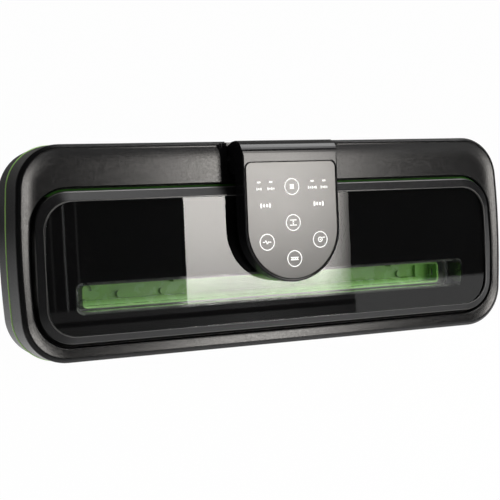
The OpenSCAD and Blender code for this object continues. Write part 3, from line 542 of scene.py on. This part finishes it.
def smoked_window(name, tint):
    """Clear smoked acrylic that mirrors the room and lets the lamps' light through."""
    f = Finish(name)
    f.mottled(tint, 0.2, 0.01)
    f.set(Roughness=0.0, IOR=1.49, Transmission_Weight=1.0)
    clear = f.add("ShaderNodeBsdfTransparent")
    f.feed(clear.inputs["Color"], (*tint, 1))
    shadow = f.add("ShaderNodeLightPath").outputs["Is Shadow Ray"]
    pane = f.blend_shaders(shadow, f.shader.outputs["BSDF"], clear.outputs["BSDF"])
    f.feed(f.output.inputs["Surface"], pane)
    return f.material


def printed_film(name, colour):
    """Black ink on the back of the pane: it touches the pane, so it has next to no gloss of its own."""
    f = Finish(name)
    f.mottled(colour, 0.05, 0.15)
    f.worn(0.5, 0.6, 0.01)
    f.set(Specular_IOR_Level=0.02)
    return f.material


def control_film(name, colour):
    """Satin printed film, painted darker towards the front as painted shade, with a black line of painted
    shade along the gap round its edge.
    """
    f = Finish(name)
    y = f.parts(f.place)["Y"]
    half = (PANEL_HIGH.x - PANEL_LOW.x) / 2
    rear = f.outline(*plan(PANEL_LOW, PANEL_HIGH, 0.0, 0.0, PANEL_RADIUS))
    tip = f.outline((0, PANEL_LOW.y + half), (half, half), half)
    front = f.range(y, 1.0, 0.0, PANEL_LOW.y + half - 0.0002, PANEL_LOW.y + half + 0.0002)
    away = f.total(f.product(front, tip), f.product(f.rest(front), rear))
    # painted shade: a black line along the panel's edge stands in for the shade in the gap round it
    line = f.range(away, 0.0, 1.0, -PANEL_GAP_SHADE_WIDTH - 0.0001, -PANEL_GAP_SHADE_WIDTH + 0.0001)
    # painted shade: the print is darker towards the front
    tint = f.range(y, 0.0, 1.0, PANEL_LOW.y, PANEL_LOW.y + 0.06)
    shaded_print_colour = f.ramp(tint, [(0.0, [c * 0.55 for c in colour]), (1.0, colour)])
    wear = f.range(f.noise(0.01, detail=3), 0.195, 0.215)
    f.set(Base_Color=f.blend(line, shaded_print_colour, PANEL_GAP_SHADE_TONE),
          Roughness=f.total(wear, f.product(line, 0.4)),
          Specular_IOR_Level=f.product(f.range(tint, 0.36, 0.5, 0.0, 1.0), f.rest(f.product(line, 0.92))))
    f.relief(f.noise(0.0006), 0.000003)
    return f.material


def circuit_board(name, colour):
    """Board with copper tracks under green solder mask."""
    f = Finish(name)
    tracks = f.add("ShaderNodeTexBrick")
    copper = (colour[0] + 0.05, colour[1] + 0.12, colour[2] + 0.03, 1)
    dark = (*[c * 0.8 for c in colour], 1)
    for key, value in (("Scale", 260), ("Mortar Size", 0.03), ("Color1", (*colour, 1)),
                       ("Color2", dark), ("Mortar", copper), ("Vector", f.place)):
        f.feed(tracks.inputs[key], value)
    f.set(Base_Color=tracks.outputs["Color"])
    f.worn(0.3, 0.45, 0.01)
    return f.material


def laminations(name, colour):
    """Stacked steel sheets of a small transformer."""
    f = Finish(name)
    wave = f.add("ShaderNodeTexWave", wave_type="BANDS", bands_direction="Z")
    for key, value in (("Scale", 320), ("Distortion", 0.3), ("Vector", f.place)):
        f.feed(wave.inputs[key], value)
    sheets = wave.outputs["Fac"]
    f.set(Base_Color=f.ramp(sheets, [(0.2, [c * 0.5 for c in colour]), (0.6, colour)]), Metallic=0.8)
    f.relief(sheets, 0.0001)
    f.worn(0.35, 0.55, 0.006)
    return f.material


def clear_tube(name, colour):
    """Milky silicone tube."""
    f = Finish(name)
    f.mottled(colour, 0.02, 0.05)
    f.worn(0.3, 0.4, 0.01)
    f.set(Transmission_Weight=0.35, IOR=1.42)
    return f.material


def lamp_lens(name, colour):
    """Frosted lens of a small indicator."""
    f = Finish(name)
    f.mottled(colour, 0.002, 0.06)
    f.worn(0.35, 0.45, 0.003)
    return f.material


def ink_film(name, colour):
    """Print with a little painted glow, so that the signs read on the dark panel."""
    f = Finish(name)
    f.mottled(colour, 0.004, 0.04)
    f.worn(0.4, 0.5, 0.003)
    # painted light: the print glows
    f.set(Emission_Color=(1, 1, 0.98, 1), Emission_Strength=PRINT_PAINTED_GLOW)
    return f.material


NODE_FINISH = {
    "base_shell": "moulded_black", "base_screws": "zinc_steel", "rubber_feet": "foot_rubber",
    "trim_band": "trim_green", "gap_trim": "gap_green", "base_deck": "chamber_deck",
    "lower_gasket": "pale_gasket", "drip_tray": "tray_green", "seal_bar": "bar_aluminium",
    "heating_strip": "heater_alloy", "sealing_tape": "ptfe_tape", "latch_catches": "moulded_black",
    "inlet_socket": "socket_black", "inlet_pins": "nickel", "power_board": "circuit_green",
    "transformer": "laminated_steel", "pump_motor": "motor_can", "pump_head": "deck_black",
    "vacuum_tube": "silicone_tube", "lid_switch": "socket_black", "lid_frame": "lid_black",
    "bezel": "bezel_satin", "bezel_screws": "zinc_steel", "window": "smoked_window",
    "window_mask": "film_black", "strip_holder": "deck_black", "press_strip": "gasket_rubber",
    "hinge_pins": "nickel", "handle_cover": "handle_satin", "handle_base": "handle_satin",
    "control_panel": "control_film", "control_board": "circuit_green", "indicator_leds": "lamp_lens",
    "touch_pads": "spring_brass", "handle_shaft": "handle_satin", "handle_screws": "zinc_steel",
    "link_rods": "nickel", "latch_hooks": "zinc_steel",
}


# ---- Shapes that the operators share ----


def deselect():
    bpy.ops.object.select_all(action="DESELECT")


def apply_transform():
    bpy.ops.object.transform_apply(location=True, rotation=True, scale=True)


def raise_solid(height):
    """Raises the flat shape in edit mode to a closed solid and goes back to object mode."""
    bpy.ops.mesh.select_all(action="SELECT")
    bpy.ops.mesh.extrude_region_move(TRANSFORM_OT_translate={"value": (0, 0, height)})
    bpy.ops.mesh.select_all(action="SELECT")
    bpy.ops.mesh.normals_make_consistent(inside=False)
    bpy.ops.object.mode_set(mode="OBJECT")


def joined(name, parts, material):
    """Joins parts into one piece with one material."""
    deselect()
    for part in parts:
        part.select_set(True)
    bpy.context.view_layer.objects.active = parts[0]
    bpy.ops.object.join()
    piece = bpy.context.view_layer.objects.active
    piece.name = name
    piece.data.name = name
    apply_transform()
    piece.data.materials.clear()
    piece.data.materials.append(bpy.data.materials[material])
    deselect()
    return piece


class Ink:
    """Draws raised ink shapes on the panel, with places and sizes in millimetres."""

    def __init__(self, marks):
        self.height = marks.ink
        self.line = marks.line / MM
        self.key_radius = marks.key_radius / MM

    def circle(self, x, y, radius, sides):
        deselect()
        bpy.ops.mesh.primitive_circle_add(
            vertices=sides, radius=radius * MM, fill_type="NGON", location=(x * MM, y * MM, PANEL_HIGH.z))
        bpy.ops.object.mode_set(mode="EDIT")
        bpy.ops.mesh.select_all(action="SELECT")
        return bpy.context.object

    def ring(self, x, y, radius, sides=64):
        """A disc whose middle is inset and cut out, then raised to the ink's height."""
        ring = self.circle(x, y, radius, sides)
        bpy.ops.mesh.inset(thickness=self.line * MM)
        bpy.ops.mesh.delete(type="FACE")
        raise_solid(self.height)
        return ring

    def disc(self, x, y, radius, sides, stretch=1.0):
        """A dot, or with three sides a triangle."""
        dot = self.circle(x, y, radius, sides)
        raise_solid(self.height)
        dot.scale = (1, stretch, 1)
        return dot

    def bar(self, x, y, length, width=None, turn=0.0, round_ends=True):
        """A bar turned by turn degrees, as wide as a printed line unless width says otherwise."""
        width = self.line if width is None else width
        deselect()
        bpy.ops.mesh.primitive_plane_add(size=1, location=(x * MM, y * MM, PANEL_HIGH.z))
        bar = bpy.context.object
        bar.scale = (length * MM, width * MM, 1)
        bpy.ops.object.transform_apply(location=False, rotation=False, scale=True)
        bpy.ops.object.mode_set(mode="EDIT")
        if round_ends:
            bpy.ops.mesh.select_all(action="SELECT")
            bpy.ops.mesh.bevel(offset=min(width, length) * MM * 0.45, segments=4, affect="VERTICES")
        raise_solid(self.height)
        bar.rotation_euler = Euler((0, 0, math.radians(turn)))
        return bar

    def row(self, x, y, pitch, width, heights):
        """Upright bars side by side, centred on x."""
        first = x - (len(heights) - 1) / 2 * pitch
        return [self.bar(first + i * pitch, y, width, height) for i, height in enumerate(heights)]


def key_sign(ink, name, x, y):
    """The generic sign inside one key."""
    if name == "stop_key":
        return [ink.bar(x, y, 3.6, 3.6, round_ends=False)]
    if name == "vacuum_key":
        return [ink.bar(x, y + 2.0, 6.2), ink.bar(x, y - 2.0, 6.2),
                ink.disc(x, y + 0.75, 0.9, 3), ink.disc(x, y - 0.75, 0.9, 3, stretch=-1)]
    if name == "seal_key":
        seams = [ink.bar(x, y + 0.9, 7.0), ink.bar(x, y - 0.9, 7.0)]
        return seams + [ink.bar(x + off, y, 1.6, ink.line * 0.8, turn=60) for off in (-2.4, -0.8, 0.8, 2.4)]
    if name == "pulse_key":
        return [ink.bar(x + right, y + up, length, turn=turn) for right, up, length, turn in PULSE]
    return [ink.ring(x, y, 2.1, 40), ink.bar(x + 3.2, y + 1.6, 2.6), ink.disc(x, y, 0.6, 20)]


def rounded_slab(name, low, high, radius):
    """A flat slab with rounded plan corners: a plane whose corners are bevelled, then raised."""
    deselect()
    middle = (Vector(low) + Vector(high)) / 2
    bpy.ops.mesh.primitive_plane_add(size=1, location=(middle.x, middle.y, low[2]))
    slab = bpy.context.object
    slab.name = name
    slab.scale = (high[0] - low[0], high[1] - low[1], 1)
    apply_transform()
    bpy.ops.object.mode_set(mode="EDIT")
    bpy.ops.mesh.select_all(action="SELECT")
    bpy.ops.mesh.bevel(offset=radius, segments=12, affect="VERTICES")
    raise_solid(high[2] - low[2])
    return slab


def halftone_row(field, radius, pitch, levels, stagger):
    """One row of print dots round the clear field: arrays along its sides, spun copies in its corners."""
    half, front, rear, corner = field
    middle = (levels[0] + levels[1]) / 2
    made = []

    def dot(x, y):
        deselect()
        bpy.ops.mesh.primitive_cylinder_add(
            vertices=8, radius=radius, depth=levels[1] - levels[0], location=(x, y, middle))
        apply_transform()
        made.append(bpy.context.object)
        return bpy.context.object

    sides = (
        ((corner - half, front), (half - corner, front)), ((corner - half, rear), (half - corner, rear)),
        ((-half, front + corner), (-half, rear - corner)), ((half, front + corner), (half, rear - corner)))
    for start, end in sides:
        span = Vector(end) - Vector(start)
        count = max(round(span.length / pitch), 1)
        step = span / count
        first = Vector(start) + step * (0.5 if stagger else 1.0)
        piece = dot(first.x, first.y)
        row = piece.modifiers.new("row", "ARRAY")
        row.use_relative_offset = False
        row.use_constant_offset = True
        row.constant_offset_displace = (step.x, step.y, 0)
        row.count = count - (0 if stagger else 1)
        bpy.context.view_layer.objects.active = piece
        bpy.ops.object.modifier_apply(modifier=row.name)
    if corner > pitch:
        steps = max(round(corner * math.pi / 2 / pitch), 2)
        for right, back, turn in ((1, 1, 0), (-1, 1, 90), (-1, -1, 180), (1, -1, 270)):
            row_y = rear - corner if back > 0 else front + corner
            centre = Vector((right * (half - corner), row_y, middle))
            begin = math.radians(turn)
            dot(centre.x + corner * math.cos(begin), centre.y + corner * math.sin(begin))
            bpy.ops.object.mode_set(mode="EDIT")
            bpy.ops.mesh.select_all(action="SELECT")
            bpy.ops.mesh.spin(steps=steps, dupli=True, angle=math.pi / 2, center=centre, axis=(0, 0, 1))
            bpy.ops.object.mode_set(mode="OBJECT")
    return made


# ---- The studio ----


def set_camera(scene, s):
    camera = bpy.data.cameras.new("studio_camera")
    camera.lens = s.camera_lens
    camera.sensor_width = 36
    stand = bpy.data.objects.new("studio_camera", camera)
    scene.collection.objects.link(stand)
    stand.location = s.camera_place
    stand.rotation_euler = Euler(s.camera_turn)
    scene.camera = stand
    scene.view_settings.view_transform = "Standard"


def front_wall(w, ray, x, y):
    """Level of the wall in front: dim on the left with a dark rail across it, full on the right."""
    past = w.range(x, 0.0, 1.0, *WALL_STEP)
    wall = w.total(w.product(w.grey_ramp(x, WALL_LEVELS), w.rest(past)), w.product(past, WALL_RIGHT))
    # only surfaces that lean forward mirror the skirting
    lower = w.range(y, 0.0, 1.0, *SKIRTING_FADE)
    skirting = w.product(w.grey_ramp(x, SKIRTING_LEVELS), SKIRTING_GAIN, lower)
    off_rail = w.maths("ABSOLUTE", w.reach(ray, RAIL_PLANE))
    rail = w.product(w.range(off_rail, 1.0, 0.0, *RAIL_FADE), w.range(x, 1.0, 0.0, *RAIL_END))
    return w.product(w.total(w.product(wall, w.rest(lower)), skirting), w.rest(w.product(rail, RAIL_DEPTH)))


def build_room(scene, s):
    """White to the camera; other rays meet a bright wall in front, a dim one and a strip light behind."""
    world = bpy.data.worlds.new("studio_room")
    scene.world = world
    world.use_nodes = True
    w = Nodes(world.node_tree)
    output = w.add("ShaderNodeOutputWorld")
    ray = w.add("ShaderNodeTexCoord").outputs["Generated"]
    x, y = w.parts(ray)[:2]
    in_front = w.range(w.reach(ray, WALL_EDGE), 1.0, 0.0, -WALL_BLUR, WALL_BLUR)
    lit = w.product(in_front, w.product(front_wall(w, ray, x, y), s.room_light))
    # the wall behind has thin upright gaps that let a little light through
    gaps = 0.0
    for place, strength in LIGHT_GAPS:
        off = w.maths("ABSOLUTE", w.maths("SUBTRACT", x, place))
        gaps = w.total(gaps, w.range(off, strength, 0.0, *GAP_FADE))
    dim = w.total(w.product(gaps, w.rest(in_front)), s.dark_side)
    low = w.product(w.range(y, 0.0, 1.0, *STRIP_RISE), w.range(y, 1.0, STRIP_TOP, *STRIP_FALL))
    strip = w.product(low, w.product(w.range(x, 0.0, 1.0, *STRIP_SIDE), s.rear_light))
    room = w.add("ShaderNodeBackground")
    white = w.add("ShaderNodeBackground")
    for background, strength in ((room, w.total(lit, dim, strip)), (white, 1.0)):
        w.feed(background.inputs["Color"], (1, 1, 1, 1))
        w.feed(background.inputs["Strength"], strength)
    camera_ray = w.add("ShaderNodeLightPath").outputs["Is Camera Ray"]
    w.feed(output.inputs["Surface"], w.blend_shaders(camera_ray, room.outputs[0], white.outputs[0]))


def lay_floor(s):
    """Pale floor, white to the camera, that takes the object's shadow."""
    deselect()
    bpy.ops.mesh.primitive_circle_add(
        vertices=96, radius=s.floor_size, fill_type="NGON", location=(0, 0, CAD_BOX[0][2] - FLOOR_DROP))
    floor = bpy.context.object
    floor.name = "pale_floor"
    f = Finish("pale_floor")
    f.worn(0.8, 0.9, 0.2)
    # painted light in front of the object and painted shade behind it
    y = f.parts(f.place)["Y"]
    shade = f.range(y, *FLOOR_PAINTED_TONES, *FLOOR_FADE)
    f.set(Base_Color=f.grey_ramp(shade, ((0.0, 0.0), (1.0, 1.0))))
    glow = f.add("ShaderNodeEmission")
    f.feed(glow.inputs["Color"], (1, 1, 1, 1))
    path = f.add("ShaderNodeLightPath").outputs
    seen = f.product(path["Is Camera Ray"], FLOOR_SEEN)
    mirrored = f.product(path["Is Glossy Ray"], f.range(y, s.floor_gloss, 0.0, *FLOOR_GLOSS_FADE))
    surface = f.blend_shaders(f.total(seen, mirrored), f.shader.outputs[0], glow.outputs[0])
    f.feed(f.output.inputs["Surface"], surface)
    floor.data.materials.append(f.material)
    return floor


def hang_fill(scene, s):
    """Large lamp overhead that gloss doesn't mirror."""
    fill = bpy.data.lights.new("fill_lamp", "AREA")
    fill.shape = "SQUARE"
    fill.size = FILL_SIZE
    fill.energy = s.fill_light * FILL_GAIN
    lamp = bpy.data.objects.new("fill_lamp", fill)
    scene.collection.objects.link(lamp)
    lamp.location = (0, 0, FILL_HEIGHT)
    lamp.visible_glossy = False
    lamp.visible_camera = False


def hang_softbox(s):
    """The softbox that the window and the panel mirror, brightest in its middle."""
    deselect()
    width, depth = s.softbox_size
    left, front, height = s.softbox_low
    right, rear = left + width, front + depth
    bpy.ops.mesh.primitive_plane_add(size=1, location=((left + right) / 2, (front + rear) / 2, height))
    card = bpy.context.object
    card.name = "softbox"
    card.scale = (width, depth, 1)
    apply_transform()
    b = Finish("softbox")
    x, y = b.parts(b.place)[:2]
    from_front = b.grey_ramp(b.range(y, 0.0, 1.0, front, front + SOFTBOX_FRONT), SOFTBOX_LEVELS)
    from_rear = b.range(y, SOFTBOX_REAR_LEVEL, 1.0, rear, front + SOFTBOX_REAR)
    from_side = b.range(x, SOFTBOX_SIDE_LEVEL, 1.0, right, right - SOFTBOX_SIDE)
    cloth = b.add("ShaderNodeEmission")
    b.feed(cloth.inputs["Color"], SOFTBOX_COLOUR)
    b.feed(cloth.inputs["Strength"], b.product(from_front, from_rear, from_side, s.softbox_radiance))
    b.feed(b.output.inputs["Surface"], cloth.outputs[0])
    card.data.materials.append(b.material)
    card.visible_camera = False
    card.visible_shadow = False
    return card


# ---- Operators ----


class SEALER_OT_stage(bpy.types.Operator):
    """Set up the camera, the pale floor, the room, the fill lamp and the softbox"""

    bl_idname = "sealer.stage"
    bl_label = "Studio"

    def execute(self, context):
        s = context.scene.sealer_studio
        set_camera(context.scene, s)
        build_room(context.scene, s)
        floor = lay_floor(s)
        hang_fill(context.scene, s)
        card = hang_softbox(s)
        deselect()
        return {"FINISHED"}


class SEALER_OT_finishes(bpy.types.Operator):
    """Make every finish and give each CAD piece its own"""

    bl_idname = "sealer.finishes"
    bl_label = "Finishes"

    def execute(self, context):
        c = context.scene.sealer_finishes
        lid_black = [level * 0.3 for level in c.body_black]
        finishes = (
            ("moulded_black", moulded_plastic, c.body_black, 0.24, c.grain, 0.00003),
            ("lid_black", lid_plastic, lid_black, 0.215, c.grain * 1.2, 0.000022),
            ("deck_black", moulded_plastic, c.deck_black, 0.40, c.grain, 0.00003),
            ("chamber_deck", deck_plastic, c.deck_black, 0.35, c.grain, 0.00003),
            ("bezel_satin", bezel_plastic, c.bezel_grey, 0.22, c.grain * 0.7, 0.000015),
            ("handle_satin", moulded_plastic, c.handle_black, 0.18, c.grain * 0.7, 0.000008, 0.36),
            ("socket_black", moulded_plastic, (0.02, 0.02, 0.02), 0.5, 0.0006, 0.00002),
            ("trim_green", moulded_plastic, c.trim_green, 0.35, 0.0008, 0.00001),
            # the trim's green darkened as painted shade down in the gap between lid and bezel
            ("gap_green", moulded_plastic, (0.012, 0.062, 0.004), 0.5, 0.0008, 0.00001, 0.05),
            ("tray_green", tray_plastic, c.tray_green),
            ("smoked_window", smoked_window, c.window_smoke),
            ("film_black", printed_film, (0.0020, 0.0020, 0.0022)),
            ("control_film", control_film, c.panel_grey),
            ("foot_rubber", rubber, (0.02, 0.02, 0.02), 0.85),
            ("gasket_rubber", rubber, (0.03, 0.03, 0.032), 0.6),
            # pale grey, partly the gasket's own colour and partly a painted highlight of the light the
            # chamber ring's edge catches
            ("pale_gasket", rubber, (0.34, 0.345, 0.32), 0.45),
            ("bar_aluminium", brushed_metal, (0.55, 0.56, 0.57), 0.4),
            ("heater_alloy", brushed_metal, (0.42, 0.40, 0.38), 0.3),
            ("ptfe_tape", rubber, (0.20, 0.13, 0.07), 0.45, 0.0008),
            ("zinc_steel", brushed_metal, (0.52, 0.53, 0.55), 0.3, (12, 12, 1)),
            ("nickel", brushed_metal, (0.62, 0.60, 0.56), 0.22),
            ("spring_brass", brushed_metal, (0.62, 0.47, 0.20), 0.3, (12, 12, 1)),
            ("motor_can", brushed_metal, (0.45, 0.46, 0.47), 0.35),
            ("laminated_steel", laminations, (0.20, 0.20, 0.21)),
            ("circuit_green", circuit_board, (0.015, 0.10, 0.035)),
            ("silicone_tube", clear_tube, (0.55, 0.57, 0.56)),
            ("lamp_lens", lamp_lens, (0.75, 0.80, 0.72)),
        )
        made = {name: finish(name, *values) for name, finish, *values in finishes}
        for name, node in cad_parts.items():
            node.data.materials.clear()
            node.data.materials.append(made[NODE_FINISH[name]])
        return {"FINISHED"}


class SEALER_OT_ink(bpy.types.Operator):
    """Make the white ink of the printed marks, with its painted glow"""

    bl_idname = "sealer.ink"
    bl_label = "Ink"

    def execute(self, context):
        ink_film("print_white", context.scene.sealer_finishes.print_white)
        return {"FINISHED"}


class SEALER_OT_window_print(bpy.types.Operator):
    """Lay the dark print behind the window, clear over the vacuum chamber, with a halftone edge"""

    bl_idname = "sealer.window_print"
    bl_label = "Window print"

    def execute(self, context):
        p = context.scene.sealer_print
        low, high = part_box("window_mask")
        sunk = high.z + p.bond
        film = rounded_slab(
            "window_print", (low.x + p.margin, low.y + p.margin, low.z),
            (high.x - p.margin, high.y - p.margin, sunk), p.outer_radius)
        # the clear field follows the chamber's ring, which shows as the lowest part of the window
        x, y0, y1 = p.field_half, p.field_front, p.field_rear
        cutter = rounded_slab("field_cutter", (-x, y0, low.z - MM), (x, y1, sunk + MM), p.field_radius)
        cut = film.modifiers.new("field", "BOOLEAN")
        cut.operation = "DIFFERENCE"
        cut.solver = "EXACT"
        cut.object = cutter
        deselect()
        context.view_layer.objects.active = film
        bpy.ops.object.modifier_apply(modifier=cut.name)
        bpy.data.objects.remove(cutter)
        film.data.materials.append(bpy.data.materials["film_black"])
        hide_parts("window_mask")
        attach(film, "lid")
        rows = []
        for i in range(p.dot_rows):
            inset = p.dot_pitch * (0.35 + 0.87 * i)
            radius = p.dot_radius * (1.0, 0.8, 0.58, 0.4)[i]
            field = (x - inset, y0 + inset, y1 - inset, p.field_radius - inset)
            rows += halftone_row(field, radius, p.dot_pitch, (low.z, sunk), i % 2)
        dots = joined("halftone_edge", rows, "film_black")
        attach(dots, "lid")
        return {"FINISHED"}


class SEALER_OT_key_marks(bpy.types.Operator):
    """Print the five round touch keys with a generic sign in each"""

    bl_idname = "sealer.key_marks"
    bl_label = "Key marks"

    def execute(self, context):
        ink = Ink(context.scene.sealer_marks)
        for name, (x, y) in KEYS.items():
            parts = [ink.ring(x, y, ink.key_radius)] + key_sign(ink, name, x, y)
            piece = joined(name, parts, "print_white")
            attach(piece, "handle")
        return {"FINISHED"}


class SEALER_OT_lamp_marks(bpy.types.Operator):
    """Print the four indicator windows, their small signs and the two group signs"""

    bl_idname = "sealer.lamp_marks"
    bl_label = "Lamp marks"

    def execute(self, context):
        ink = Ink(context.scene.sealer_marks)
        windows = [ink.bar(x, LAMP_ROW, *LAMP_SIZE) for x, _ in LAMPS]
        signs = []
        for x, count in LAMPS:
            signs += ink.row(x, SIGN_ROW, SIGN_PITCH, SIGN_WIDTH, SIGN_HEIGHTS[:count])
        groups = []
        for x in GROUP_PLACES:
            groups += ink.row(x, GROUP_ROW, GROUP_PITCH, GROUP_WIDTH, GROUP_HEIGHTS)
        for name, made in (("lamp_windows", windows), ("lamp_signs", signs), ("group_signs", groups)):
            piece = joined(name, made, "print_white")
            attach(piece, "handle")
        return {"FINISHED"}


STEPS = (
    SEALER_OT_stage, SEALER_OT_finishes, SEALER_OT_ink,
    SEALER_OT_window_print, SEALER_OT_key_marks, SEALER_OT_lamp_marks)


class SEALER_PT_panel(bpy.types.Panel):
    """Lists the steps that dress the sealer"""

    bl_idname = "SEALER_PT_panel"
    bl_label = "Vacuum Sealer"
    bl_space_type = "VIEW_3D"
    bl_region_type = "UI"
    bl_category = "Sealer"

    def draw(self, context):
        for step in STEPS:
            self.layout.operator(step.bl_idname)
        for name, group in GROUPS:
            settings = getattr(context.scene, name)
            box = self.layout.box()
            for key in group.__annotations__:
                box.prop(settings, key)


def register():
    for name, group in GROUPS:
        bpy.utils.register_class(group)
        setattr(bpy.types.Scene, name, bpy.props.PointerProperty(type=group))
    for step in STEPS:
        bpy.utils.register_class(step)
    bpy.utils.register_class(SEALER_PT_panel)


def unregister():
    bpy.utils.unregister_class(SEALER_PT_panel)
    for step in reversed(STEPS):
        bpy.utils.unregister_class(step)
    for name, group in reversed(GROUPS):
        delattr(bpy.types.Scene, name)
        bpy.utils.unregister_class(group)


def main():
    register()
    for step in STEPS:
        area, name = step.bl_idname.split(".")
        getattr(getattr(bpy.ops, area), name)()


if __name__ == "__main__":
    main()
